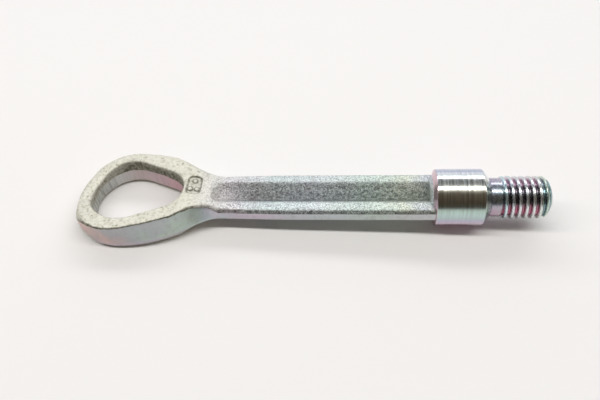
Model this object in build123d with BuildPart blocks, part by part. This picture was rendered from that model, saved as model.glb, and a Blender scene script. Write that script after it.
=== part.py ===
from build123d import *
import math
import os

os.makedirs("parts", exist_ok=True)

# Screw-in towing eye bolt: a forged eye and H-section shank, a turned collar and an 18 mm thread.
# The bolt is one drop forging with a machined end. It is written here as the five stretches that a
# forge and a lathe make differently, and they meet face to face on planes square to the axis.
# Frame: X along the bolt axis towards the thread, the eye lies flat in XY, Z is up.
# Origin: on the axis, where the collar's seating chamfer ends and the plain neck begins.

# ---- driving dimensions, in millimetres ----------------------------------------------------
# machined end
thread_crest_radius = 8.9        # 18 mm thread, right hand
thread_pitch = 2.75
thread_depth = 1.55
first_groove = 2.39              # where the groove would start on top of the bolt, before the blank
groove_mouth = 2.25              # width of the groove cutter just above the crest
groove_clearance = 0.4           # how far the cutter stands out of the crest
groove_floor = 0.6
neck_radius = 8.1
neck_length = 4.4
bolt_tip = 25.2                  # from the origin to the tip
nose_length = 4.8
nose_flat_radius = 3.4
collar_radius = 11.9
collar_length = 22.2             # from the origin back to the collar's rear edge
seat_chamfer = 3.0
rear_slope_length = 2.4          # turned slope behind the collar, down to the forging
rear_face_radius = 7.4

# forged shank
shank_end = -112.0               # where the shank runs into the throat
shank_half_width = 11.2
waist_half_width = 10.5
flank_full = -82.0               # the shank reaches its full width here
trim_half_height = 1.75          # half the smooth band left where the flash was trimmed
rib_half_height = 3.4            # the two ribs of the H
web_half_height = 1.1
rib_outer = 9.8                  # rib crest, from and to, across the shank
rib_inner = 5.5
web_edge = 2.6
channel_start = -115.5           # the channels' rounded ends, in the throat
channel_flare = 1.2              # how far the channel's sides run on above the ribs

# forged eye
eye_half_height = 6.1
bow_radius = 23.0
eye_left = -179.0                # outermost point of the bow
cheek_radius = 57.0              # long arc from the bow to the throat
throat_start = -128.5            # the cheek's end, where the outline turns hollow
hole_bow_radius = 16.1
hole_left = -171.3
hole_throat_radius = 10.6
hole_right = -130.0
hole_bevel = 2.1
outer_round = 0.9
same_height = 1e-4               # two heights closer than this are the same
eye_split = -137.0               # plane between the ring and the throat
throat_slope_start = -127.0      # the throat's faces fall to the ribs from here
fall_slope = -0.12               # how steeply they arrive there
bow_fall_start = -166.0          # the bow's upper face leans down from here to its end
bow_fall = 3.0

# marking pad in the throat's upper face, with three plain pips
pad_centre = (-125.0, 2.3)
pad_size = (6.2, 10.4)
pad_corner = 2.2
pad_depth = 0.6
pip_places = ((0, 2.4), (-1.5, -2.2), (1.5, -2.2))
pip_radius = 0.9
pip_height = 0.4

# ---- centres and angles of the flat outline --------------------------------------------------
bow_centre = (eye_left + bow_radius, 0)
cheek_centre = (bow_centre[0], bow_radius - cheek_radius)
cheek_angle = math.degrees(math.asin((throat_start - bow_centre[0]) / cheek_radius))

# the hole is the hull of a large and a small circle
big_hole = hole_left + hole_bow_radius
small_hole = hole_right - hole_throat_radius
lean = math.degrees(math.asin((hole_bow_radius - hole_throat_radius) / (small_hole - big_hole)))

# ---- the two channels of the H, pressed in above and below the web ---------------------------
with BuildPart() as channels:
    for side in (1, -1):
        with BuildSketch(Plane((channel_start, 0, 0), x_dir=(0, side, 0), z_dir=(1, 0, 0))):
            with BuildLine():
                Polyline(
                    (-rib_inner - channel_flare, rib_half_height + channel_flare),
                    (-rib_inner, rib_half_height),
                    (-web_edge, web_half_height),
                    (web_edge, web_half_height),
                    (rib_inner, rib_half_height),
                    (rib_inner + channel_flare, rib_half_height + channel_flare),
                    close=True,
                )
            make_face()
        extrude(amount=-channel_start)

# ---- the eye, whole, before it is cut into ring and throat ----------------------------------
with BuildPart() as eye:
    with BuildSketch(Plane.XY.offset(-eye_half_height)):
        with BuildLine():
            CenterArc(bow_centre, bow_radius, 90, 90)
            cheek = CenterArc(cheek_centre, cheek_radius, 90, -cheek_angle)
            hollow = Spline(
                cheek @ 1,
                (shank_end, waist_half_width),
                tangents=(cheek % 1, (1, 0)),
            )
            Line(hollow @ 1, (shank_end, 0))
            mirror(about=Plane.XZ)
        make_face()
    extrude(amount=2 * eye_half_height)
    # the faces fall from the eye's thickness to the height of the ribs
    with BuildSketch(Plane.XZ):
        with BuildLine():
            upper_fall = Spline(
                (throat_slope_start, eye_half_height),
                (shank_end, rib_half_height),
                tangents=((1, 0), (1, fall_slope)),
            )
            Line(upper_fall @ 1, (shank_end, -rib_half_height))
            mirror(upper_fall, about=Plane.XZ)
            Polyline(
                (throat_slope_start, -eye_half_height),
                (eye_left, -eye_half_height),
                (eye_left, eye_half_height),
                (throat_slope_start, eye_half_height),
            )
        make_face()
    extrude(amount=2 * bow_radius, both=True, mode=Mode.INTERSECT)
    with BuildSketch(Plane.XY.offset(-eye_half_height)):
        with BuildLine():
            hole_bow = CenterArc((big_hole, 0), hole_bow_radius, 90 - lean, 90 + lean)
            hole_end = CenterArc((small_hole, 0), hole_throat_radius, 0, 90 - lean)
            Line(hole_bow @ 0, hole_end @ 1)
            mirror(about=Plane.XZ)
        make_face()
    extrude(amount=2 * eye_half_height, mode=Mode.SUBTRACT)
    # every edge on the eye's two flat faces that runs round the hole gets the pressed bevel
    flat_rims = eye.edges().filter_by(lambda e: abs(abs(e.center().Z) - eye_half_height) < same_height)
    hole_rims = flat_rims.filter_by(lambda e: abs(e.center().Y) < hole_bow_radius)
    hole_rims = hole_rims.filter_by(lambda e: hole_left - 1 < e.center().X < hole_right + 1)
    chamfer(hole_rims, hole_bevel)
    # the outer rim is slightly round where the trimming die let go
    bow_rims = flat_rims.filter_by(lambda e: math.dist(tuple(e @ 0.5)[:2], bow_centre) > bow_radius - 1)
    bow_rims = bow_rims.filter_by(lambda e: (e @ 0.5).X < throat_start)
    fillet(bow_rims, outer_round)
    # the bow's end is forged thinner on the upper side
    with BuildSketch(Plane.XZ):
        with BuildLine():
            Polyline(
                (bow_fall_start, eye_half_height),
                (eye_left, eye_half_height - bow_fall),
                (eye_left, eye_half_height),
                close=True,
            )
        make_face()
    extrude(amount=2 * bow_radius, both=True, mode=Mode.SUBTRACT)

cut_plane = Plane((eye_split, 0, 0), z_dir=(1, 0, 0))

with BuildPart() as eye_ring:
    add(eye.part)
    split(bisect_by=cut_plane, keep=Keep.BOTTOM)
eye_ring.part.label = "eye_ring"
export_step(eye_ring.part, "parts/eye_ring.step")

with BuildPart() as eye_throat:
    add(eye.part)
    split(bisect_by=cut_plane, keep=Keep.TOP)
    # the channels of the shank end in the throat
    add(channels.part, mode=Mode.SUBTRACT)
    # the marking pad is pressed into the upper face, and three plain pips stand up in it
    with BuildSketch(Plane.XY.offset(eye_half_height)):
        with Locations(pad_centre):
            RectangleRounded(*pad_size, pad_corner)
    extrude(amount=-pad_depth, mode=Mode.SUBTRACT)
    with BuildSketch(Plane.XY.offset(eye_half_height - pad_depth)):
        with Locations(pad_centre):
            with Locations(*pip_places):
                Circle(pip_radius)
    extrude(amount=pip_height)
eye_throat.part.label = "eye_throat"
export_step(eye_throat.part, "parts/eye_throat.step")

# ---- collar --------------------------------------------------------------------------------
with BuildPart() as collar:
    with BuildSketch(Plane.XZ):
        with BuildLine():
            Polyline(
                (-collar_length - rear_slope_length, 0),
                (-collar_length - rear_slope_length, rear_face_radius),
                (-collar_length, collar_radius),
                (-seat_chamfer, collar_radius),
                (0, neck_radius),
                (0, 0),
                close=True,
            )
        make_face()
    revolve(axis=Axis.X)
collar.part.label = "collar"
export_step(collar.part, "parts/collar.step")

# ---- shank ---------------------------------------------------------------------------------
with BuildPart() as shank:
    with BuildSketch(Plane.XY.offset(-rib_half_height)):
        with BuildLine():
            flank = Spline(
                (shank_end, waist_half_width),
                (flank_full, shank_half_width),
                (-collar_length, shank_half_width),
                tangents=((1, 0), (1, 0)),
            )
            Line((shank_end, 0), flank @ 0)
            Line(flank @ 1, (-collar_length, 0))
            mirror(about=Plane.XZ)
        make_face()
    extrude(amount=2 * rib_half_height)
    # the ribs' outer sides lean in from the trimmed band
    upper, lower = shank.faces().sort_by(Axis.Z)[-1], shank.faces().sort_by(Axis.Z)[0]
    for face in (upper, lower):
        long_edges = face.edges().filter_by(lambda e: e.length > 3 * shank_half_width)
        chamfer(long_edges, shank_half_width - rib_outer, rib_half_height - trim_half_height, reference=face)
    add(channels.part, mode=Mode.SUBTRACT)
    add(collar.part, mode=Mode.SUBTRACT)
shank.part.label = "shank"
export_step(shank.part, "parts/shank.step")

# ---- neck and thread -----------------------------------------------------------------------
# one helical cutter, which starts behind the threaded blank and runs out past its tip
with BuildPart() as thread_groove:
    with BuildLine():
        helix = Helix(
            pitch=thread_pitch,
            height=bolt_tip - first_groove + thread_pitch,
            radius=thread_crest_radius,
            center=(first_groove, 0, 0),
            direction=(1, 0, 0),
        )
    with BuildSketch(Plane(origin=helix @ 0, x_dir=(1, 0, 0), z_dir=(0, -1, 0))):
        with BuildLine():
            Polyline(
                (-groove_mouth / 2, groove_clearance),
                (-groove_floor / 2, -thread_depth),
                (groove_floor / 2, -thread_depth),
                (groove_mouth / 2, groove_clearance),
                close=True,
            )
        make_face()
    sweep(path=helix, binormal=Edge.make_line((0, 0, 0), (1, 0, 0)))

# what the lathe takes off to round the nose
with BuildPart() as nose_turning:
    with BuildSketch(Plane.XZ):
        with BuildLine():
            EllipticalCenterArc(
                (bolt_tip - nose_length, nose_flat_radius),
                nose_length,
                thread_crest_radius - nose_flat_radius,
                start_angle=0,
                arc_size=90,
            )
            Polyline(
                (bolt_tip - nose_length, thread_crest_radius),
                (bolt_tip - nose_length, collar_radius),
                (bolt_tip + 1, collar_radius),
                (bolt_tip + 1, 0),
                (bolt_tip, 0),
                (bolt_tip, nose_flat_radius),
            )
        make_face()
    revolve(axis=Axis.X)

with BuildPart() as threaded_end:
    # the circles start away from the cutter's own start, so that no seam meets its edge
    with BuildSketch(Plane((neck_length, 0, 0), x_dir=(0, -1, 1), z_dir=(1, 0, 0))):
        Circle(thread_crest_radius)
    extrude(amount=bolt_tip - neck_length)
    add(thread_groove.part, mode=Mode.SUBTRACT)
    add(nose_turning.part, mode=Mode.SUBTRACT)
    with BuildSketch(Plane((0, 0, 0), x_dir=(0, -1, 1), z_dir=(1, 0, 0))):
        Circle(neck_radius)
    extrude(amount=neck_length)
threaded_end.part.label = "threaded_end"
export_step(threaded_end.part, "parts/threaded_end.step")

for piece in (eye_ring, eye_throat, shank, collar, threaded_end):
    box = piece.part.bounding_box()
    print(piece.part.label, round(piece.part.volume, 1), piece.part.is_valid, len(piece.part.solids()), box)
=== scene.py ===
# %% [markdown]
# # A screw-in towing eye, forged, trimmed, turned and plated
#
# A towing eye is one steel part. It is hammered to shape between two dies, its flash is cut off in a
# trimming press, and its end is turned and threaded on a lathe. At last it is plated with zinc and
# passivated, which leaves the thin rainbow tints on the smooth faces.
#
# The CAD model gives the sizes. It is loaded first and never moved. At the end the box of the finished
# looks is printed.

# %% Load the measured frame
import math

import bpy
import numpy as np
from mathutils import Matrix, Vector, noise
from mathutils.geometry import delaunay_2d_cdt


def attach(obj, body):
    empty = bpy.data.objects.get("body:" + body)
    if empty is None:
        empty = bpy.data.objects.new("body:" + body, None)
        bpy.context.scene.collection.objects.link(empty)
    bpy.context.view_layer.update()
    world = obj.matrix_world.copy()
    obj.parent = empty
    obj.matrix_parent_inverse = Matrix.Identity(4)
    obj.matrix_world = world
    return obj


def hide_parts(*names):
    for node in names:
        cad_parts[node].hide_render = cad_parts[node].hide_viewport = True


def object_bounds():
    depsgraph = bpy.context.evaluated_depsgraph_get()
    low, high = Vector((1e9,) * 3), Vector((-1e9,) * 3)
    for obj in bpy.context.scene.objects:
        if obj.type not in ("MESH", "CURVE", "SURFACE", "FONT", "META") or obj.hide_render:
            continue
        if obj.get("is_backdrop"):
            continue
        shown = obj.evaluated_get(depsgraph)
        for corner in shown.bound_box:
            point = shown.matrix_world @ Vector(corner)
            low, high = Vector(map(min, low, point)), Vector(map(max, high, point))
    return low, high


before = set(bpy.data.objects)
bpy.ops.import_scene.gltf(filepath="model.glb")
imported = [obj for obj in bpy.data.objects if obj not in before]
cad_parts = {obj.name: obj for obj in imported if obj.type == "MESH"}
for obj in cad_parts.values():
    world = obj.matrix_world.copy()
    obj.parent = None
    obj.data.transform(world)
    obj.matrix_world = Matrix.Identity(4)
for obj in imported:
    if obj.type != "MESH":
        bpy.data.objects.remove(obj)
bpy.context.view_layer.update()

MM = 0.001
print("nodes:", sorted(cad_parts))

# %% [markdown]
# ## Camera
#
# The eye is looked at from in front and above, as an object on a table is. The camera's direction is
# given by three turns: round the vertical, down from the horizon, and a small roll. The lens is a short
# normal one.

# %% Camera
camera_turn = math.radians(-7.644)
camera_down = math.radians(48.0)
camera_roll = math.radians(-5.726)

look = Vector((
    math.sin(camera_turn) * math.cos(camera_down),
    math.cos(camera_turn) * math.cos(camera_down),
    -math.sin(camera_down),
))
level_right = Vector((math.cos(camera_turn), -math.sin(camera_turn), 0))
level_up = level_right.cross(look)
right = math.cos(camera_roll) * level_right + math.sin(camera_roll) * level_up
up = math.cos(camera_roll) * level_up - math.sin(camera_roll) * level_right

camera_data = bpy.data.cameras.new("table_camera")
camera_data.lens = 35.288
camera_data.sensor_width = 36
camera_data.clip_start = 0.01
camera = bpy.data.objects.new("table_camera", camera_data)
camera.matrix_world = Matrix.Translation((-0.05654, -0.16922, 0.18790)) @ Matrix(
    (right, up, -look)
).transposed().to_4x4()
bpy.context.scene.collection.objects.link(camera)
bpy.context.scene.camera = camera
print("camera at", [round(v, 4) for v in camera.matrix_world.translation])

# %% [markdown]
# ## Table
#
# The bolt doesn't lie level: the ring rests on its lower rim and the collar, which is thicker, on its
# own rim. The table is the plane under both, so it is the table that tilts, by about two degrees, and
# the bolt stays in the frame.

# %% Table
ring_rest = Vector((-0.1767, 0, -0.0061))
collar_rest = Vector((-0.0222, 0, -0.0119))
table_tilt = math.atan2(ring_rest.z - collar_rest.z, collar_rest.x - ring_rest.x)


def paper(name, colour):
    """A plain matt paper with a very faint mottle."""
    made = bpy.data.materials.new(name)
    made.use_nodes = True
    tree = made.node_tree
    shader = tree.nodes["Principled BSDF"]
    mottle = tree.nodes.new("ShaderNodeTexNoise")
    mottle.inputs["Scale"].default_value = 14
    mixed = tree.nodes.new("ShaderNodeMix")
    mixed.data_type = "RGBA"
    mixed.inputs["A"].default_value = (*[c * 0.985 for c in colour], 1)
    mixed.inputs["B"].default_value = (*colour, 1)
    tree.links.new(mottle.outputs["Fac"], mixed.inputs["Factor"])
    tree.links.new(mixed.outputs["Result"], shader.inputs["Base Color"])
    shader.inputs["Roughness"].default_value = 0.9
    shader.inputs["Specular IOR Level"].default_value = 0.1
    return made


def card(name, size, place, turn, material):
    """A flat rectangle for the table or the studio, which isn't part of the object."""
    half_x, half_y = size[0] / 2, size[1] / 2
    mesh = bpy.data.meshes.new(name)
    corners = [(-half_x, -half_y, 0), (half_x, -half_y, 0), (half_x, half_y, 0), (-half_x, half_y, 0)]
    mesh.from_pydata(corners, [], [(0, 1, 2, 3)])
    mesh.materials.append(material)
    piece = bpy.data.objects.new(name, mesh)
    piece.matrix_world = Matrix.Translation(place) @ turn.to_4x4()
    bpy.context.scene.collection.objects.link(piece)
    piece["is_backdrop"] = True
    return piece


table = card(
    "table", (6, 6), (ring_rest + collar_rest) / 2,
    Matrix.Rotation(table_tilt, 3, "Y"), paper("white_table", (0.86, 0.845, 0.83)),
)
print("table tilts by", round(math.degrees(table_tilt), 2), "degrees")

# %% [markdown]
# ## Studio light
#
# Bright metal shows the room, so the light is planned as what the collar will mirror. From the front
# horizon over the top to the back there are: a dark room behind the camera, a long softbox overhead,
# a grey ceiling, a second softbox behind, and the white sweep. Each is given by its angle, measured in
# the plane across the bolt from the front horizon, so a band on the collar can be moved by one number.

# %% Studio light
stage_centre = Vector((-0.08, 0, 0))


def across(angle, distance):
    """A place round the bolt at an angle from the front horizon, and the turn that faces the bolt."""
    a = math.radians(angle)
    away = Vector((0, -math.cos(a), math.sin(a)))
    side = Vector((1, 0, 0))
    facing = Matrix((side, away.cross(side), away)).transposed()
    return stage_centre + away * distance, facing


def softbox(name, angle, spread, distance, length, power, colour):
    """A long light whose width fills the given spread of angle."""
    place, facing = across(angle, distance)
    data = bpy.data.lights.new(name, "AREA")
    data.shape = "RECTANGLE"
    data.size = length
    data.size_y = 2 * distance * math.tan(math.radians(spread / 2))
    data.color = colour
    data.energy = power * data.size * data.size_y
    lamp = bpy.data.objects.new(name, data)
    lamp.matrix_world = Matrix.Translation(place) @ facing.to_4x4()
    lamp.visible_camera = False
    bpy.context.scene.collection.objects.link(lamp)
    return lamp


softbox("softbox_overhead", 84, 7, 0.9, 2.4, 37, (1, 0.985, 0.96))
softbox("softbox_behind", 136, 12, 1.1, 2.8, 10.8, (0.97, 0.985, 1))
softbox("white_sweep", 163, 28, 1.4, 3.4, 1.9, (0.97, 0.95, 1))

world = bpy.data.worlds.new("pale_room")
world.use_nodes = True
world.node_tree.nodes["Background"].inputs["Color"].default_value = (0.93, 0.95, 1, 1)
world.node_tree.nodes["Background"].inputs["Strength"].default_value = 0.27
bpy.context.scene.world = world
bpy.context.scene.view_settings.view_transform = "Standard"

flag_place, flag_turn = across(37, 1.3)
flag = card("dark_flag", (4, 1.7), flag_place, flag_turn, paper("dark_cloth", (0.20, 0.17, 0.135)))
flag.visible_camera = False
flag.visible_shadow = False

# %% [markdown]
# ## The forging's plan
#
# Seen from above, the forging is an outline with one hole. The outline starts at the far end of the bow,
# runs round it as a circle, goes along a flatter cheek to the throat, and then along the nearly straight
# flank of the shank. Only the upper half is drawn. The lower half is its mirror.

# %% Plan of the outline and the hole
bow_centre, bow_radius = -156.0, 23.0
cheek_radius, cheek_end = 57.0, -128.5
throat_end, flank_full, shank_stop = -112.0, -82.0, -21.8
waist, half_width = 10.5, 11.2
ring_hole, ring_hole_radius = -155.2, 16.1
throat_hole, throat_hole_radius = -140.6, 10.6
hole_flat = 0.9


def smooth(value, low, high):
    """0 below low, 1 above high, and an easy curve between."""
    t = np.clip((np.asarray(value, float) - low) / (high - low), 0, 1)
    return t * t * (3 - 2 * t)


def circle(centre, radius, start, stop, count):
    """Points on a circle, from one angle to another in degrees."""
    a = np.radians(np.linspace(start, stop, count))
    return np.stack([centre[0] + radius * np.cos(a), centre[1] + radius * np.sin(a)], 1)


def hermite(start, start_way, stop, stop_way, count):
    """A curve that leaves and arrives along the given directions."""
    t = np.linspace(0, 1, count)[:, None]
    start, stop, start_way, stop_way = map(np.array, (start, stop, start_way, stop_way))
    return (
        (2 * t**3 - 3 * t**2 + 1) * start + (t**3 - 2 * t**2 + t) * start_way
        + (3 * t**2 - 2 * t**3) * stop + (t**3 - t**2) * stop_way
    )


def evenly(points, spacing):
    """The same open line with points at an even spacing."""
    steps = np.hypot(*np.diff(points, axis=0).T)
    run = np.concatenate([[0], np.cumsum(steps)])
    wanted = np.linspace(0, run[-1], max(2, round(run[-1] / spacing)) + 1)
    return np.stack([np.interp(wanted, run, points[:, i]) for i in (0, 1)], 1)


def closed(upper):
    """The upper half of a loop and its mirror, as one loop that runs clockwise."""
    lower = upper[::-1] * (1, -1)
    loop = np.concatenate([upper, lower])
    keep = np.hypot(*(loop - np.roll(loop, 1, 0)).T) > 1e-6
    return loop[keep]


cheek_angle = math.degrees(math.acos((cheek_end - bow_centre) / cheek_radius))
cheek_centre = (bow_centre, bow_radius - cheek_radius)
bow = circle((bow_centre, 0), bow_radius, 180, 90, 200)
cheek = circle(cheek_centre, cheek_radius, 90, cheek_angle, 80)
leave = np.array([math.sin(math.radians(cheek_angle)), -math.cos(math.radians(cheek_angle))])
throat = hermite(cheek[-1], leave * 17, (throat_end, waist), (17, 0.3), 60)
flank_x = np.linspace(throat_end, shank_stop, 120)
flank_y = waist + (half_width - waist) * smooth(flank_x, throat_end - 8, flank_full)
flank_y += throat[-1, 1] - flank_y[0]
flank = np.stack([flank_x, np.minimum(flank_y, half_width)], 1)
corner = np.array([[shank_stop, half_width], [shank_stop, 0]])
outline = closed(evenly(np.concatenate([bow, cheek[1:], throat[1:], flank[1:], corner[1:]]), 0.5))

lean = math.degrees(math.acos((ring_hole_radius - throat_hole_radius) / (throat_hole - ring_hole)))
bow_side = circle((ring_hole, 0), ring_hole_radius, 180, lean, 160)
bow_side[:, 0] += hole_flat * smooth(ring_hole - bow_side[:, 0], 0, ring_hole_radius)
throat_side = circle((throat_hole, 0), throat_hole_radius, lean, 0, 60)
hole = closed(evenly(np.concatenate([bow_side, throat_side]), 0.4))
print(len(outline), "points round the outline,", len(hole), "round the hole")

# %% [markdown]
# ## Distances in the plan
#
# Everything about a forging's section depends on how far a point is from its edge: the draft, the
# rounded shoulder, the bevel round the hole. So each point of the plan gets its distance to both loops,
# and what the nearest point of the outline looks like.

# %% Distances to the loops


def nearest(points, loop):
    """Distance from each point to a closed loop, how far round the loop the nearest place is, and
    whether the point is inside. The run is counted from the loop's bow end:
    far side up, near side down."""
    a, b = loop, np.roll(loop, -1, 0)
    way = b - a
    length = np.hypot(*way.T)
    start_run = np.concatenate([[0], np.cumsum(length)[:-1]])
    far, run = np.empty(len(points)), np.empty(len(points))
    inside = np.zeros(len(points), bool)
    for first in range(0, len(points), 2000):
        p = points[first:first + 2000]
        gap = p[:, None] - a[None]
        t = np.clip((gap * way).sum(2) / (way**2).sum(1), 0, 1)
        foot = a[None] + way[None] * t[..., None]
        reach = np.hypot(*np.moveaxis(p[:, None] - foot, 2, 0))
        best = reach.argmin(1)
        rows = np.arange(len(p))
        far[first:first + 2000] = reach[rows, best]
        run[first:first + 2000] = start_run[best] + t[rows, best] * length[best]
        above = (a[None, :, 1] > p[:, None, 1]) != (b[None, :, 1] > p[:, None, 1])
        with np.errstate(divide="ignore", invalid="ignore"):
            crossing = a[:, 0] + (p[:, None, 1] - a[:, 1]) / way[:, 1] * way[:, 0]
        inside[first:first + 2000] = ((above & (p[:, None, 0] < crossing)).sum(1) % 2).astype(bool)
    return far, np.where(run > length.sum() / 2, run - length.sum(), run), inside


def inset(loop, distance):
    """The loop moved to its own right-hand side, which for a clockwise loop is inwards."""
    way = np.roll(loop, -1, 0) - np.roll(loop, 1, 0)
    way /= np.hypot(*way.T)[:, None]
    return loop + np.stack([way[:, 1], -way[:, 0]], 1) * distance


shoulder_steps = (0.1, 0.25, 0.45, 0.7, 1.0, 1.35, 1.75, 2.2, 2.7, 3.2, 3.7)
bevel_steps = (0.15, 0.4, 0.8, 1.2, 1.6, 2.0, 2.5)
cell = 0.5
grid_x, grid_y = np.meshgrid(np.arange(-180, shank_stop, cell), np.arange(-23, 23.01, cell * 0.87))
grid_x[1::2] += cell / 2
grid = np.stack([grid_x.ravel(), grid_y.ravel()], 1)
pad_x, pad_y = np.meshgrid(np.arange(-129.5, -120.5, 0.24), np.arange(-4.5, 9.2, 0.24))
pad_grid = np.stack([pad_x.ravel(), pad_y.ravel()], 1) + 0.003
near_pad = (np.abs(grid[:, 0] + 125) < 4.7) & (np.abs(grid[:, 1] - 2.35) < 7)
grid = np.concatenate([grid[~near_pad], pad_grid])

to_edge, _, in_outline = nearest(grid, outline)
to_hole, _, in_hole = nearest(grid, hole)
inner = grid[in_outline & ~in_hole & (to_edge > 4.0) & (to_hole > 2.8)]
rims = [(inset(outline, d), d, 0) for d in shoulder_steps]
rims += [(inset(hole, -d), 0, d) for d in bevel_steps]
rows = []
for ring, edge_gap, hole_gap in rims:
    to_edge, _, in_outline = nearest(ring, outline)
    to_hole, _, in_hole = nearest(ring, hole)
    good = in_outline & ~in_hole & (to_edge > 0.9 * edge_gap) & (to_hole > 0.9 * hole_gap)
    if hole_gap:
        good &= to_edge > 4.0
    rows.append(ring[good])
plan = np.concatenate([outline, hole, *rows, inner])
print(len(plan), "points in the plan")

# %% Triangles of the plan
first_hole = len(outline)
loops = [list(range(first_hole)), list(range(first_hole, first_hole + len(hole)))]
rim_edges = [(loop[i], loop[(i + 1) % len(loop)]) for loop in loops for i in range(len(loop))]
flat, _, triangles, origins, _, _ = delaunay_2d_cdt([Vector(p) for p in plan], rim_edges, [], 0, 1e-6)
plan_of = {source: made for made, sources in enumerate(origins) for source in sources}
flat = np.array([tuple(p) for p in flat])
triangles = np.array(triangles)
middles = flat[triangles].mean(1)
_, _, middle_in = nearest(middles, outline)
_, _, middle_in_hole = nearest(middles, hole)
triangles = triangles[middle_in & ~middle_in_hole]
spans = flat[triangles]
turning = np.cross(spans[:, 1] - spans[:, 0], spans[:, 2] - spans[:, 0])
triangles[turning < 0] = triangles[turning < 0][:, ::-1]
print(len(flat), "points and", len(triangles), "triangles")

# %% [markdown]
# ## The forging's heights
#
# The dies press the same section into both sides. In the eye it is a flat bar, 12 mm thick. Through the
# throat it thins to 7 mm, and along the shank each side has a channel between two ribs, which makes an
# H section: light, but stiff in bending. The trimming press cuts the near side almost straight, so it
# keeps a ragged sharp edge, and its upper part leans in towards the throat. The dies were a little out
# of line, so the far side and the bow keep the full rounded shoulder of the die. Each point also gets a
# painted shade, which the skin's finish reads: in the channels, on the drafts, along the rims and in the
# stamped pad.

# %% Height of the forged faces
eye_height, rib_height, web_height = 6.1, 3.4, 1.1
channel_begin, channel_deep = -118.2, -113.6
web_edge, rib_inner = 2.6, 5.5
# the faces fall from the eye's thickness to that of the ribs between these two
eye_end, ribs_begin = -128.5, -111.5
bow_bevel, bevel, lower_bevel, lower_punch = 0.3, 0.75, 0.6, 5.6
dish, bow_dish, dish_reach = 0.3, 0.8, 2.6
pip_foot, pip_crown, pip_rise = 1.15, 0.7, 0.45
# how strongly each place is painted dark, because the studio light alone leaves it too pale
dark_bevel, dark_far_rim, dark_near_rim, dark_throat_rim = 0.62, 0.4, 1.2, 0.8
dark_far_slope, dark_draft = 0.8, 0.9
dark_pad_rim, dark_pad, dark_pip_rim, pale_pip = 0.75, 0.25, 0.9, 0.35
pad_centre, pad_size, pad_corner, pad_depth = (-125.0, 2.3), (6.2, 10.4), 2.2, 0.6
pip_places = ((0.0, 2.4), (-1.5, -2.2), (1.5, -2.2))


def plate(x):
    """Half thickness of the forging before channels, pads and edges."""
    return eye_height + (rib_height - eye_height) * smooth(x, eye_end, ribs_begin)


def wobble(points, size, seed, depth=2):
    """A smooth random value for each point, between about -1 and 1."""
    return np.array([
        noise.fractal((p[0] / size + seed, p[1] / size, p[2] / size if len(p) > 2 else 0.0), 1, 2, depth)
        for p in points
    ])


# how the upper die's edge changes round the outline: run from the bow's end, then the drop of the
# whole face, the height where the face meets the wall, and the width of the shoulder between them
upper_edge = np.array([
    (-84, 0.0, 1.75, 1.4), (-82, 0.0, 1.75, 1.6), (-80, 0.0, 2.4, 2.2), (-78, 0.0, 3.6, 2.8),
    (-75, 0.0, 4.0, 2.6), (-71, 0.0, 4.5, 1.9), (-66, 0.0, 5.1, 0.8), (-60, 0.0, 5.5, 0.5),
    (-36, 0.0, 5.6, 0.45), (-28, 0.0, 5.3, 0.5), (-22, 0.1, 4.8, 0.9), (-17, 0.6, 2.6, 1.8),
    (-12, 1.4, -0.5, 2.6), (-8, 2.2, -2.5, 3.1), (-3, 2.9, -3.2, 3.5), (4, 3.1, -1.8, 3.9),
    (12, 2.9, -0.5, 3.5), (18, 1.5, 1.8, 3.7), (29, 0.2, 3.6, 2.9), (36, 0.0, 4.6, 2.0),
    (47, 0.0, 4.7, 1.6), (56, 0.0, 5.4, 0.9), (62, 0.0, 4.8, 1.4), (69, 0.0, 3.5, 2.3),
    (73, 0.0, 2.8, 2.4), (78, 0.0, 1.9, 1.7), (84, 0.0, 1.75, 1.4),
]).T
lower_edge = np.array([
    (-84, 0.0, 1.75, 1.6), (-80, 0.0, 1.75, 2.2), (-76, 0.0, 2.0, 3.2), (-72, 0.0, 2.6, 3.3),
    (-68, 0.0, 3.3, 2.2), (-64, 0.0, 3.5, 1.0), (-50, 0.0, 4.1, 0.7), (-36, 0.0, 3.9, 0.6),
    (-29, 0.0, 4.6, 0.9), (-22, 0.0, 2.2, 2.5), (-14, 0.0, 3.6, 1.6), (0, 0.0, 4.6, 1.2),
    (62, 0.0, 4.6, 1.4), (72, 0.0, 3.0, 1.4), (84, 0.0, 1.75, 1.4),
]).T
# round the hole: run from its bow end, and the height where the punched wall begins
punch_run = (-60, -16, -8, 0, 4, 10, 16, 24, 32, 39, 46, 60)
punch_top = (4.8, 4.8, 2.0, 0.5, 1.0, 1.25, 1.6, 1.3, 1.8, 2.2, 0.9, 1.4)
# the near wall leans in towards its top, most where the cheek turns into the throat
lean_run = (-82, -80, -78, -75, -71, -66, -62, -55, -46, -40, -32)
lean_in = (0.0, 0.6, 2.0, 2.7, 3.1, 2.4, 1.7, 2.0, 1.5, 0.6, 0.0)


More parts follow.
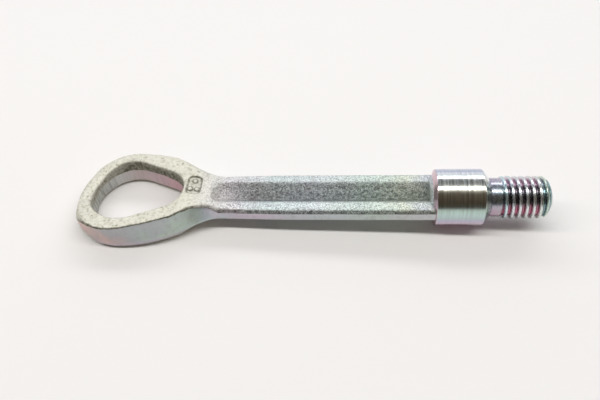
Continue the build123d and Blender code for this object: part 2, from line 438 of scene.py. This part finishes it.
def face_height(points, side):
    """Height of the upper face, or depth of the lower one, in mm over the plan, and its painted shade."""
    x, y = points.T
    to_edge, edge_run, _ = nearest(points, outline)
    to_hole, hole_run, _ = nearest(points, hole)
    table = upper_edge if side > 0 else lower_edge
    fall, edge_height, width = (np.interp(edge_run, table[0], row) for row in table[1:])
    height = plate(x) - fall * smooth(-x, 140, 146)
    across_rib = smooth(np.abs(y), web_edge - 0.6, rib_inner + 0.7)
    end_curve = 0.035 * np.maximum(np.abs(y) - 1.5, 0) ** 2
    channel = smooth(x - end_curve, channel_begin, channel_deep) * (1 - across_rib)
    height -= channel * (height - web_height)
    # the far rib's inner slope, which gets painted shade on both faces
    far_slope = smooth(y, 2.2, 3.4) * smooth(-y, -6.6, -5.4) * smooth(x, channel_begin, channel_deep)
    edge_height = edge_height + (0.28 * wobble(points, 1.6, 91.0) if side > 0 else 0) * (x < -114)
    short = np.clip(1 - to_edge / width, 0, 1)
    share = 0.75 * short**1.15 + 0.25 * (1 - np.sqrt(1 - short**2))
    height -= (height - edge_height) * share
    punched = np.interp(hole_run, punch_run, punch_top) if side > 0 else lower_punch
    round_bow = smooth(-np.abs(hole_run - 7), -16, -9) if side > 0 else 0.0
    bevel_width = bevel - bow_bevel * round_bow if side > 0 else lower_bevel
    lip = np.clip(1 - to_hole / bevel_width, 0, 1)
    height -= (height - punched) * (0.15 * lip + 0.85 * lip**2.4)
    height -= (dish + bow_dish * round_bow) * np.clip(1 - to_hole / dish_reach, 0, 1) ** 2

    in_eye = 1 - smooth(x, -116, -112)
    near_side = smooth(-edge_run, 14, 24) * in_eye
    frayed = 0.5 + 0.6 * wobble(points, 0.9, 57.0, 3)
    past_bow = smooth(hole_run, 12, 22) * smooth(-hole_run, -60, -50)
    far_rim = np.clip(1 - to_hole / 2.4, 0, 1) ** 1.5 * past_bow
    on_top = side > 0
    near_rim = near_side * smooth(-to_edge, -0.45 - 0.9 * frayed, -0.15)
    # painted shade on the hole's bevel, the far and near rims and the throat's near draft, then in the
    # channels, on the far rib's inner slope and on the shank's drafts
    dark = dark_bevel * smooth(lip, 0.1, 0.6) + dark_far_rim * far_rim * on_top + dark_near_rim * near_rim
    on_draft = smooth(short, 0.05, 0.5)
    dark = dark + dark_throat_rim * on_draft * near_side * smooth(-edge_run, 66, 72) * on_top
    run_in = 0.4 + 0.6 * smooth(x + 0.6 * y, -116, -98)
    dark = dark + np.maximum(channel, dark_far_slope * far_slope) * run_in
    dark = dark + dark_draft * on_draft * (1 - in_eye)
    if side > 0:
        gap = np.abs(points - pad_centre) - (np.array(pad_size) / 2 - pad_corner)
        to_pad = np.hypot(*np.maximum(gap, 0).T) + np.minimum(gap.max(1), 0) - pad_corner
        height -= pad_depth * smooth(-to_pad, -0.15, 0.35)
        # painted shade round the pad's rim, in the pad and round the pips, less of it on the pips' crowns
        dark += dark_pad_rim * smooth(-np.abs(to_pad + 0.2), -0.6, -0.15)
        dark += dark_pad * smooth(-to_pad, 0, 0.4)
        for place_x, place_y in pip_places:
            to_pip = np.hypot(x - pad_centre[0] - place_x, y - pad_centre[1] - place_y)
            height += pip_rise * smooth(-to_pip, -pip_foot, -pip_crown)
            dark += dark_pip_rim * smooth(-np.abs(to_pip - pip_foot), -0.5, -0.1)
            dark -= pale_pip * smooth(-to_pip, -0.9, -0.5)
    return height, np.clip(dark, 0, 1), edge_run, to_edge


def forged_grain(points, height, seed):
    """The rough skin of the forging: shallow waves and small pits."""
    where = np.stack([points[:, 0], points[:, 1], height], 1)
    waves = 0.07 * wobble(where, 2.6, seed) + 0.035 * wobble(where, 0.9, seed + 7)
    return waves - 0.02


upper, upper_dark, edge_run, to_edge = face_height(flat, 1)
lower, lower_dark, _, _ = face_height(flat, -1)
upper += forged_grain(flat, upper, 3.0)
lower += forged_grain(flat, lower, 31.0)


def leaned(points):
    """The plan of the upper face, with its near rim moved in over the wall that leans."""
    to_edge, edge_run, _ = nearest(points, outline)
    to_hole, _, _ = nearest(points, hole)
    way = np.roll(outline, -1, 0) - np.roll(outline, 1, 0)
    way /= np.hypot(*way.T)[:, None]
    _, rim_run, _ = nearest(outline, outline)
    order = np.argsort(rim_run)
    normal = (way[:, 1], -way[:, 0])
    inward = np.stack([np.interp(edge_run, rim_run[order], part[order]) for part in normal], 1)
    share = np.clip(1 - to_edge / 10, 0, 1) * to_hole / (to_hole + to_edge + 1e-6)
    amount = np.interp(edge_run, lean_run, lean_in, left=0, right=0)
    return points + inward * (amount * share)[:, None]


upper_flat = leaned(flat)
print("upper face from", round(upper.min(), 2), "to", round(upper.max(), 2), "mm")

# %% [markdown]
# ## The forging as one skin
#
# The upper and lower faces share the same triangles. Between them go the trimmed wall round the outline
# and the punched wall of the hole, as rows of quads. Each kind of face gets its own material, because a
# forged skin, a sheared wall and a punched wall look different even after the same plating.

# %% Build the forging
wall_rows = 8


def lift(points, heights):
    """Points of the plan with heights, in metres."""
    return np.stack([points[:, 0], points[:, 1], heights], 1) * MM


def make_mesh(name, points, faces, kinds, materials):
    """A smooth-shaded piece of the object from points, faces and the kind of each face."""
    mesh = bpy.data.meshes.new(name)
    mesh.from_pydata([tuple(p) for p in points], [], [tuple(int(i) for i in f) for f in faces])
    for material in materials:
        mesh.materials.append(material)
    mesh.polygons.foreach_set("material_index", np.array(kinds, np.int32))
    mesh.polygons.foreach_set("use_smooth", np.ones(len(faces), bool))
    mesh.update()
    mesh.validate()
    piece = bpy.data.objects.new(name, mesh)
    bpy.context.scene.collection.objects.link(piece)
    print(name, "has", len(mesh.vertices), "points and", len(mesh.polygons), "faces")
    return piece


count = len(flat)
points = [lift(upper_flat, upper), lift(flat, -lower)]
faces = [*triangles, *(triangles[:, ::-1] + count)]
# the lower draft of the near side was sheared with the wall, so it has the wall's finish
sheared = (to_edge[triangles].mean(1) < 0.7) & (np.abs(edge_run[triangles].mean(1) + 48) < 27)
kinds = [0] * len(triangles) + [int(k) for k in sheared]
dark_points = [upper_dark, lower_dark]
total = 2 * count
for kind, loop in ((1, loops[0]), (2, loops[1])):
    rim = np.array([plan_of[i] for i in loop])
    ring = flat[rim]
    top, bottom = upper[rim], -lower[rim]
    columns = [rim]
    for row in range(1, wall_rows):
        share = row / wall_rows
        height = top + (bottom - top) * share
        if kind == 1:
            below = np.clip((-2.6 - height) / 3.5, 0, 1)
            moved = ring + (inset(ring, 1.0) - ring) * (0.5 * below * (1 - share))[:, None]
            moved += (upper_flat[rim] - ring) * (1 - share)
        else:
            moved = ring
        rough = 0.03 * wobble(np.column_stack([moved, height]), 3.0, 11.0)
        moved = moved - (inset(ring, 1.0) - ring) * (rough - 0.04)[:, None] * (-1 if kind == 1 else 1)
        points.append(lift(moved, height))
        dark_points.append(np.zeros(len(rim)))
        columns.append(np.arange(total, total + len(rim)))
        total += len(rim)
    columns.append(rim + count)
    for high, low in zip(columns, columns[1:]):
        after_high, after_low = np.roll(high, -1), np.roll(low, -1)
        quads = np.stack([high, after_high, after_low, low], 1)
        faces.extend(quads if kind == 1 else quads[:, ::-1])
        kinds.extend([kind] * len(quads))
forging_points = np.concatenate(points)

# %% [markdown]
# ## Shader helpers
#
# Each finish is a small network on the Principled shader. Three helpers keep the cells short: one adds a
# node and connects it, one makes a colour ramp, one reads a coordinate of the part in its own frame.

# %% Shader helpers


def new_finish(name):
    """An empty plated-metal material: its tree and its shader."""
    made = bpy.data.materials.new(name)
    made.use_nodes = True
    return made, made.node_tree, made.node_tree.nodes["Principled BSDF"]


def put(tree, kind, inputs=(), **settings):
    """Adds a node, sets it, and connects or sets its inputs. Gives back its first output."""
    made = tree.nodes.new("ShaderNode" + kind)
    for key, value in settings.items():
        setattr(made, key, value)
    for key, value in dict(inputs).items():
        if isinstance(value, bpy.types.NodeSocket):
            tree.links.new(value, made.inputs[key])
        else:
            made.inputs[key].default_value = value
    return made.outputs[0]


def frame_place(tree):
    """The point in the part's own frame, and its x, y and z."""
    place = put(tree, "TexCoord").node.outputs["Object"]
    parts = put(tree, "SeparateXYZ", {0: place}).node.outputs
    return place, parts


def stretched(tree, place, scale):
    """The place, stretched by a factor for each axis, for brushed or turned marks."""
    return put(tree, "Mapping", {"Vector": place, "Scale": scale})


def ramp(tree, value, stops):
    """A colour for each value, through the given stops of (position, colour)."""
    made = put(tree, "ValToRGB", {0: value}).node
    while len(made.color_ramp.elements) < len(stops):
        made.color_ramp.elements.new(0.5)
    for element, (position, colour) in zip(made.color_ramp.elements, stops):
        element.position = position
        element.color = (*colour, 1) if len(colour) == 3 else colour
    return made.outputs[0]


def between(tree, value, low, high, to_low=0.0, to_high=1.0):
    """A value brought from one range to another, and held at its ends."""
    return put(tree, "MapRange", {0: value, 1: low, 2: high, 3: to_low, 4: to_high})


def mix(tree, share, first, second, blend="MIX"):
    """Two colours mixed."""
    made = put(tree, "Mix", {}, data_type="RGBA", blend_type=blend).node
    for key, value in ((0, share), (6, first), (7, second)):
        if isinstance(value, bpy.types.NodeSocket):
            tree.links.new(value, made.inputs[key])
        elif isinstance(value, tuple):
            made.inputs[key].default_value = (*value, 1)
        else:
            made.inputs[key].default_value = value
    return made.outputs[2]


def grain(tree, place, scale, detail=3.0, rough=0.55, distortion=0.0):
    """A noise value of 0 to 1. Scale is the number of grains to the metre."""
    return put(tree, "TexNoise", {
        "Vector": place, "Scale": scale, "Detail": detail, "Roughness": rough, "Distortion": distortion,
    })


def maths(tree, operation, first, second=0.0):
    """One sum on two values."""
    return put(tree, "Math", {0: first, 1: second}, operation=operation)


def raised(tree, height, distance, strength=1.0):
    """A bump of the given depth in metres."""
    return put(tree, "Bump", {"Height": height, "Distance": distance, "Strength": strength})


# %% [markdown]
# ## Finish of the forged skin
#
# Before plating the forging is shot-blasted, so its skin is a field of tiny dents: matt and creamy on the
# flat eye, coarser and more sparkling on the shank, with dark specks where scale stayed in a pit. The tint
# of the passivate drifts along the shank. The mesh's painted shade mixes a dark shade colour into the skin
# in the channels, on the drafts, along the rims and in the pad.

# %% Forged skin
forged_skin, tree, shader = new_finish("forged_plated_skin")
place, (along, sideways, height) = frame_place(tree)
to_shank = between(tree, along, -0.126, -0.112)
fine = grain(tree, place, 2000, 2.0, 0.75)
coarse = grain(tree, place, 750, 3.0, 0.7)
patches = grain(tree, place, 70, 2.0)
# the mesh's painted shade, which mixes a dark shade colour into the skin, broken up by its grain
painted_shade = put(tree, "Attribute", attribute_name="dark").node.outputs["Fac"]
cream = ramp(tree, coarse, [
    (0.28, (0.20, 0.19, 0.13)), (0.37, (0.56, 0.54, 0.44)), (0.5, (0.70, 0.685, 0.59)),
    (0.7, (0.78, 0.765, 0.68)),
])
drift = maths(tree, "ADD", along, maths(tree, "MULTIPLY", maths(tree, "SUBTRACT", patches, 0.5), 0.03))
tints = ramp(tree, between(tree, drift, -0.118, -0.022), [
    (0.0, (0.90, 0.88, 0.86)), (0.12, (0.86, 0.84, 0.86)), (0.3, (0.80, 0.90, 0.88)),
    (0.5, (0.84, 0.90, 0.90)), (0.72, (0.78, 0.90, 0.82)), (0.9, (0.86, 0.92, 0.78)),
    (1.0, (0.78, 0.84, 0.88)),
])
spark = between(tree, fine, 0.40, 0.56)
shank_colour = mix(tree, spark, mix(tree, 0.68, tints, (0.08, 0.08, 0.09)), tints)
unshaded = mix(tree, to_shank, cream, shank_colour)
# painted shade colours: a dark olive on the eye, and on the shank a dark tint that drifts with the
# passivate
shade_tint = ramp(tree, between(tree, drift, -0.118, -0.022), [
    (0.0, (0.28, 0.25, 0.25)), (0.1, (0.20, 0.16, 0.17)), (0.25, (0.19, 0.19, 0.18)),
    (0.45, (0.18, 0.18, 0.20)), (0.7, (0.16, 0.20, 0.17)), (1.0, (0.20, 0.22, 0.16)),
])
shade_colour = mix(tree, to_shank, (0.13, 0.125, 0.085), mix(tree, spark, (0.04, 0.04, 0.045), shade_tint))
ragged = maths(tree, "MULTIPLY", painted_shade, between(tree, coarse, 0.25, 0.6, 1.25, 0.65))
tree.links.new(mix(tree, ragged, unshaded, shade_colour), shader.inputs["Base Color"])
tree.links.new(between(tree, to_shank, 0, 1, 0.7, 0.95), shader.inputs["Metallic"])
tree.links.new(between(tree, to_shank, 0, 1, 0.56, 0.36), shader.inputs["Roughness"])
dents = maths(tree, "ADD", maths(tree, "MULTIPLY", fine, 0.6), coarse)
depth = maths(tree, "MULTIPLY", dents, between(tree, to_shank, 0, 1, 0.5, 1.1))
tree.links.new(raised(tree, depth, 0.0006, 0.9), shader.inputs["Normal"])
print(forged_skin.name, "has", len(tree.nodes), "nodes")

# %% [markdown]
# ## Finish of the trimmed wall
#
# The trimming press shears the steel, so the wall is smooth, with faint lines in the direction of the cut.
# The plating is bright here and its film shows its colours in broad soft fields: pink at the bow, blue
# and green along the cheek, lilac on the shank.

# %% Trimmed wall
trimmed_wall, tree, shader = new_finish("trimmed_plated_wall")
place, (along, sideways, height) = frame_place(tree)
clouds = grain(tree, place, 120, 2.0)
drift = maths(tree, "ADD", along, maths(tree, "MULTIPLY", maths(tree, "SUBTRACT", clouds, 0.5), 0.045))
wall_tints = ramp(tree, between(tree, drift, -0.180, -0.022), [
    (0.0, (0.66, 0.47, 0.42)), (0.08, (0.62, 0.46, 0.43)), (0.16, (0.46, 0.45, 0.47)),
    (0.25, (0.46, 0.50, 0.51)), (0.32, (0.50, 0.59, 0.52)), (0.39, (0.54, 0.60, 0.65)),
    (0.47, (0.62, 0.55, 0.64)), (0.7, (0.58, 0.62, 0.65)), (0.85, (0.56, 0.64, 0.60)),
    (1.0, (0.66, 0.66, 0.70)),
])
low_lilac = between(tree, height, -0.0025, -0.0045)
wall_colour = mix(tree, maths(tree, "MULTIPLY", low_lilac, 0.6), wall_tints, (0.66, 0.58, 0.68))
shear = grain(tree, stretched(tree, place, (1, 1, 0.12)), 1400, 2.0)
stains = grain(tree, place, 420, 4.0, 0.65)
wall_colour = mix(tree, between(tree, stains, 0.52, 0.72, 0.0, 0.35), wall_colour, (0.30, 0.27, 0.25))
wall_colour = mix(tree, between(tree, shear, 0.3, 0.7, 0.0, 0.12), wall_colour, (0.3, 0.3, 0.3))
tree.links.new(wall_colour, shader.inputs["Base Color"])
shader.inputs["Metallic"].default_value = 0.85
tree.links.new(between(tree, clouds, 0.3, 0.7, 0.36, 0.46), shader.inputs["Roughness"])
tree.links.new(raised(tree, shear, 0.00004, 0.4), shader.inputs["Normal"])

# %% [markdown]
# ## Finish of the punched hole
#
# The punch leaves the hole's wall smooth, with scratches down the bow where it broke through. The tint goes
# from a dark green-grey at the bow through mauve to a reddish pink at the throat.

# %% Punched wall
punched_wall, tree, shader = new_finish("punched_plated_wall")
place, (along, sideways, height) = frame_place(tree)
punch_tints = ramp(tree, between(tree, along, -0.1725, -0.130), [
    (0.0, (0.46, 0.47, 0.43)), (0.2, (0.56, 0.57, 0.56)), (0.4, (0.56, 0.48, 0.48)),
    (0.6, (0.56, 0.45, 0.47)), (0.85, (0.60, 0.40, 0.44)), (1.0, (0.52, 0.33, 0.37)),
])
scores = grain(tree, stretched(tree, place, (1, 1, 0.08)), 1200, 3.0)
near_bow = between(tree, along, -0.163, -0.170, 0.15, 0.7)
scored = maths(tree, "MULTIPLY", between(tree, scores, 0.45, 0.62), near_bow)
tree.links.new(mix(tree, scored, punch_tints, (0.2, 0.2, 0.18)), shader.inputs["Base Color"])
shader.inputs["Metallic"].default_value = 0.85
tree.links.new(between(tree, scores, 0.3, 0.7, 0.34, 0.48), shader.inputs["Roughness"])
tree.links.new(raised(tree, scores, 0.00005, 0.4), shader.inputs["Normal"])

# %% Join the forging with its finishes
forging = make_mesh(
    "forged_eye_and_shank", forging_points, faces, kinds, [forged_skin, trimmed_wall, punched_wall],
)
# the painted shade of each point, which the forged skin's finish reads
darkness = forging.data.attributes.new("dark", "FLOAT", "POINT")
darkness.data.foreach_set("value", np.concatenate(dark_points).astype(np.float32))
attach(forging, "root")
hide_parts("eye_ring", "eye_throat", "shank")

# %% [markdown]
# ## The collar
#
# The collar is turned on a lathe: a plain cylinder with a sloping shoulder behind, where the tool ran out
# on the forging, and a seating chamfer in front. A lathe piece is a profile turned round the axis, so it is
# made from its profile, with small radii at each corner, because no tool leaves a perfectly sharp one.

# %% Collar
collar_radius, neck_radius, crest_radius = 11.9, 8.1, 8.9
turns = 192


def rounded_profile(corners, radii, steps=5):
    """A profile of (x, radius) corners with each corner rounded."""
    corners = [np.array(c, float) for c in corners]
    made = [corners[0]]
    for before, here, after, radius in zip(corners, corners[1:], corners[2:], radii):
        back, forth = before - here, after - here
        reach = min(radius, np.hypot(*back) / 2.2, np.hypot(*forth) / 2.2)
        start = here + back / np.hypot(*back) * reach
        stop = here + forth / np.hypot(*forth) * reach
        for t in np.linspace(0, 1, steps):
            made.append((1 - t) ** 2 * start + 2 * t * (1 - t) * here + t**2 * stop)
    return np.array(made + [corners[-1]])


def lathe(profile, wave=None):
    """Points and faces of a profile turned round the x axis. Wave adds to each radius."""
    angles = np.linspace(0, 2 * math.pi, turns, endpoint=False)
    made = []
    for x, radius in profile:
        r = radius + (wave(x, radius, angles) if wave else 0 * angles)
        made.append(np.stack([np.full(turns, x), r * np.cos(angles), r * np.sin(angles)], 1))
    ids = np.arange(len(profile) * turns).reshape(len(profile), turns)
    high, low = ids[:-1], ids[1:]
    quads = np.stack([high, np.roll(high, -1, 1), np.roll(low, -1, 1), low], 2).reshape(-1, 4)
    return np.concatenate(made) * MM, quads


collar_corners = [
    (-24.6, 0.05), (-24.6, 7.3), (-23.1, 9.3), (-22.3, collar_radius), (-3.0, collar_radius),
    (-0.02, neck_radius), (-0.02, 0.05),
]
collar_profile = rounded_profile(collar_corners, (0.5, 1.2, 0.5, 0.35, 0.4))
longest_step = 1.2
stretches = zip(collar_profile, collar_profile[1:])
extra = [np.linspace(a, b, 2 + int(np.hypot(*(b - a)) / longest_step))[:-1] for a, b in stretches]
collar_profile = np.concatenate([*extra, collar_profile[-1:]])
collar_points, collar_faces = lathe(collar_profile)

# %% [markdown]
# ## Finish of the turned steel
#
# Turned steel is nearly a mirror, but its fine circular tool lines smear what it mirrors along the axis.
# The film on it is thinner or thicker from side to side, so the tint is given by the angle round the axis.
# That tint also carries painted light: a painted highlight just behind the top, where the collar mirrors
# the white sweep, and painted shade, dark olive, on the upper front, which mirrors the dark room.
# The lines are noise that changes quickly along the axis and hardly at all around it.

# %% Turned steel
turned_steel, tree, shader = new_finish("turned_plated_steel")
place, (along, sideways, height) = frame_place(tree)
angle = maths(tree, "ARCTAN2", height, sideways)
round_share = between(tree, angle, -math.pi, math.pi)
# the film's tint round the axis, with a painted highlight just behind the top and painted shade, dark
# olive, on the upper front
film_and_light = ramp(tree, round_share, [
    (0.0, (0.56, 0.68, 0.70)), (0.02, (0.58, 0.58, 0.72)), (0.08, (0.74, 0.56, 0.68)),
    (0.2, (0.80, 0.66, 0.74)), (0.5, (0.74, 0.72, 0.78)), (0.60, (0.74, 0.60, 0.72)),
    (0.67, (0.54, 0.60, 0.78)), (0.72, (0.86, 0.90, 0.92)), (0.80, (0.72, 0.74, 0.70)),
    (0.85, (0.62, 0.58, 0.48)), (0.90, (0.42, 0.42, 0.36)), (0.95, (0.48, 0.64, 0.59)),
    (1.0, (0.56, 0.68, 0.70)),
])
lines = grain(tree, stretched(tree, place, (1, 0.015, 0.015)), 1100, 3.0, 0.8)
broad_lines = grain(tree, stretched(tree, place, (1, 0.03, 0.03)), 380, 2.0)
line_depth = ramp(tree, round_share, [(at, (grey,) * 3) for at, grey in (
    (0.0, 0.12), (0.68, 0.06), (0.75, 0.25), (0.775, 0.8),
    (0.82, 0.45), (0.86, 0.6), (0.92, 0.4), (1.0, 0.15),
)])
scratched = maths(tree, "MULTIPLY", between(tree, lines, 0.42, 0.58), line_depth)
marked = mix(tree, scratched, film_and_light, (0.26, 0.25, 0.21))
shoulder_ring = between(tree, along, -0.0219, -0.0223)
tree.links.new(mix(tree, shoulder_ring, marked, (0.62, 0.46, 0.52)), shader.inputs["Base Color"])
shader.inputs["Metallic"].default_value = 1.0
tree.links.new(between(tree, broad_lines, 0.3, 0.7, 0.16, 0.26), shader.inputs["Roughness"])
tree.links.new(raised(tree, lines, 0.00002, 0.5), shader.inputs["Normal"])

# the forged skin runs up the hollow behind the collar, until the tool's first cut
skin_reach = -0.0236
behind = collar_points[collar_faces].mean(1)[:, 0] < skin_reach
collar = make_mesh(
    "turned_collar", collar_points, collar_faces[:, ::-1], [int(b) for b in behind],
    [turned_steel, forged_skin],
)
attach(collar, "root")
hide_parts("collar")

# %% [markdown]
# ## The threaded end
#
# The thread is a right-hand helix. At each point of the bolt the groove's depth depends only on how far
# along the pitch the point is, once its own angle is taken off, so the whole thread is one formula on a
# grid of rings. The groove fades out before the collar's neck, where the tool was drawn back, and over the
# rounded nose.

# %% Threaded end
pitch, thread_depth, bolt_tip, nose_begin, neck_stop = 2.75, 1.55, 25.2, 20.4, 4.4
groove_on_top = 1.22
# the flank's foot, as a share of half a pitch from the root, and the share over which it falls
flank_foot, flank_run, flank_bend = 0.72, 0.46, 1.1
nose_drop, nose_bend = 5.3, 2.4
neck_rings = np.linspace(0, neck_stop, 12)
rings = np.unique(np.concatenate([neck_rings, np.arange(neck_stop, bolt_tip - 0.5, 0.125)]))
angles = np.linspace(0, 2 * math.pi, turns, endpoint=False)


def blank_radius(x):
    """The bolt before its thread: neck, cylinder and rounded nose."""
    body = neck_radius + (crest_radius - neck_radius) * smooth(x, neck_stop - 0.5, neck_stop + 0.9)
    nose = np.clip((x - nose_begin) / (bolt_tip - nose_begin), 0, 1)
    return np.minimum(body, crest_radius - nose_drop * nose**nose_bend)


def groove(x, angle):
    """Share of the full groove depth at a place: 0 on the crest, 1 at the root."""
    turn = ((x - groove_on_top) / pitch - (angle - math.pi / 2) / (2 * math.pi) + 0.5) % 1.0
    from_root = np.abs(turn - 0.5) * 2
    flank = np.clip((flank_foot - from_root) / flank_run, 0, 1)
    return flank**flank_bend


ring_x, ring_angle = np.meshgrid(rings, angles, indexing="ij")
fade = smooth(ring_x, neck_stop - 0.6, neck_stop + 0.7)
radius_here = blank_radius(ring_x)
root_radius = crest_radius - thread_depth
radius_here = radius_here - np.maximum(radius_here - root_radius, 0) * groove(ring_x, ring_angle) * fade
bolt_points = np.stack([ring_x, radius_here * np.cos(ring_angle), radius_here * np.sin(ring_angle)], 2)
bolt_points = bolt_points.reshape(-1, 3)
nose_rings = []
for share in (0.75, 0.5, 0.3, 0.12, 0.005):
    radius_here_nose = radius_here[-1] * share
    nose_x = rings[-1] + (bolt_tip - rings[-1]) * (1 - share**2)
    nose_rings.append(np.stack([
        np.full(turns, nose_x), radius_here_nose * np.cos(angles), radius_here_nose * np.sin(angles),
    ], 1))
bolt_points = np.concatenate([bolt_points, *nose_rings]) * MM
ids = np.arange(len(bolt_points)).reshape(-1, turns)
high, low = ids[:-1], ids[1:]
bolt_faces = np.stack([low, np.roll(low, -1, 1), np.roll(high, -1, 1), high], 2).reshape(-1, 4)

# %% [markdown]
# ## Finish of the thread
#
# The crests are as bright as the collar. In the grooves the film is thicker and goes to magenta, and near
# both ends of the thread it turns to a cool green. Round the axis the groove's tint also carries painted
# light: a lighter mauve painted highlight on the upper back, and painted shade, nearly black, across the
# top and the upper front. The radius of a point tells crest from groove.

# %% Thread finish
thread_steel, tree, shader = new_finish("threaded_plated_steel")
place, (along, sideways, height) = frame_place(tree)
across = put(tree, "CombineXYZ", {1: sideways, 2: height})
radius = put(tree, "VectorMath", {0: across}, operation="LENGTH").node.outputs["Value"]
in_groove = between(tree, radius, 0.0087, 0.0076)
lengthwise = ramp(tree, between(tree, along, 0.0, 0.0262), [
    (0.0, (0.60, 0.68, 0.80)), (0.2, (0.62, 0.80, 0.84)), (0.3, (0.76, 0.80, 0.84)),
    (0.7, (0.78, 0.80, 0.80)), (0.85, (0.66, 0.78, 0.66)), (1.0, (0.56, 0.58, 0.40)),
])
round_share = between(tree, maths(tree, "ARCTAN2", height, sideways), -math.pi, math.pi)
# the groove's tint round the axis: film colour with a painted highlight on the upper back and painted shade
# across the top and upper front
groove_film_and_light = ramp(tree, round_share, [
    (0.0, (0.46, 0.16, 0.24)), (0.06, (0.50, 0.18, 0.26)), (0.5, (0.40, 0.22, 0.28)),
    (0.62, (0.56, 0.36, 0.48)), (0.72, (0.40, 0.26, 0.34)), (0.78, (0.16, 0.13, 0.16)),
    (0.84, (0.09, 0.09, 0.10)), (0.92, (0.13, 0.11, 0.12)), (0.96, (0.32, 0.14, 0.19)),
    (1.0, (0.46, 0.16, 0.24)),
])
groove_tint = mix(tree, between(tree, along, 0.0185, 0.0215), groove_film_and_light, (0.20, 0.32, 0.34))
wear = grain(tree, place, 800, 3.0)
thread_colour = mix(tree, in_groove, lengthwise, groove_tint)
thread_colour = mix(tree, between(tree, wear, 0.5, 0.75, 0.0, 0.35), thread_colour, (0.35, 0.35, 0.34))
tree.links.new(thread_colour, shader.inputs["Base Color"])
shader.inputs["Metallic"].default_value = 1.0
tree.links.new(between(tree, wear, 0.3, 0.7, 0.2, 0.32), shader.inputs["Roughness"])
tree.links.new(raised(tree, wear, 0.00003, 0.5), shader.inputs["Normal"])

bolt = make_mesh("threaded_bolt_end", bolt_points, bolt_faces, [0] * len(bolt_faces), [thread_steel])
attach(bolt, "root")
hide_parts("threaded_end")

# %% Box of the finished looks
low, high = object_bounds()
print("visual box in mm:", [round(v / MM, 1) for v in (*low, *high)])
